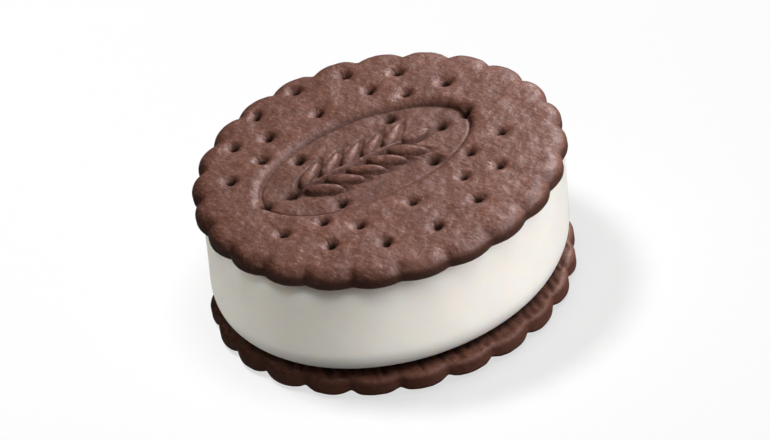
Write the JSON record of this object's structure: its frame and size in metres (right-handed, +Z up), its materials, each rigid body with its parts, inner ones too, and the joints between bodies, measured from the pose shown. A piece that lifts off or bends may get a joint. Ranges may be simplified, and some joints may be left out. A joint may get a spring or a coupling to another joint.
{
  "type": "ice cream sandwich",
  "caption": "Round ice cream sandwich: a thick disc of white ice cream between dark cocoa biscuits with scalloped rims, docker holes and a sunk oval panel.",
  "frame": {"origin": "on the ground under the middle of the sandwich, at the centre of the underside of its bounding box", "axes": "+Z up, from the lower biscuit to the upper one; -Y towards the side that the reference view shows; +X to the right of that view, where the upper biscuit stands a little higher"},
  "size_m": [0.0794, 0.081, 0.0334],
  "materials": {
    "upper_biscuit": "matte",
    "ice_cream": "satin",
    "lower_biscuit": "matte"
  },
  "bodies": {
    "root": {"upper_biscuit": "upper_biscuit", "ice_cream": "ice_cream", "lower_biscuit": "lower_biscuit"}
  },
  "joints": []
}
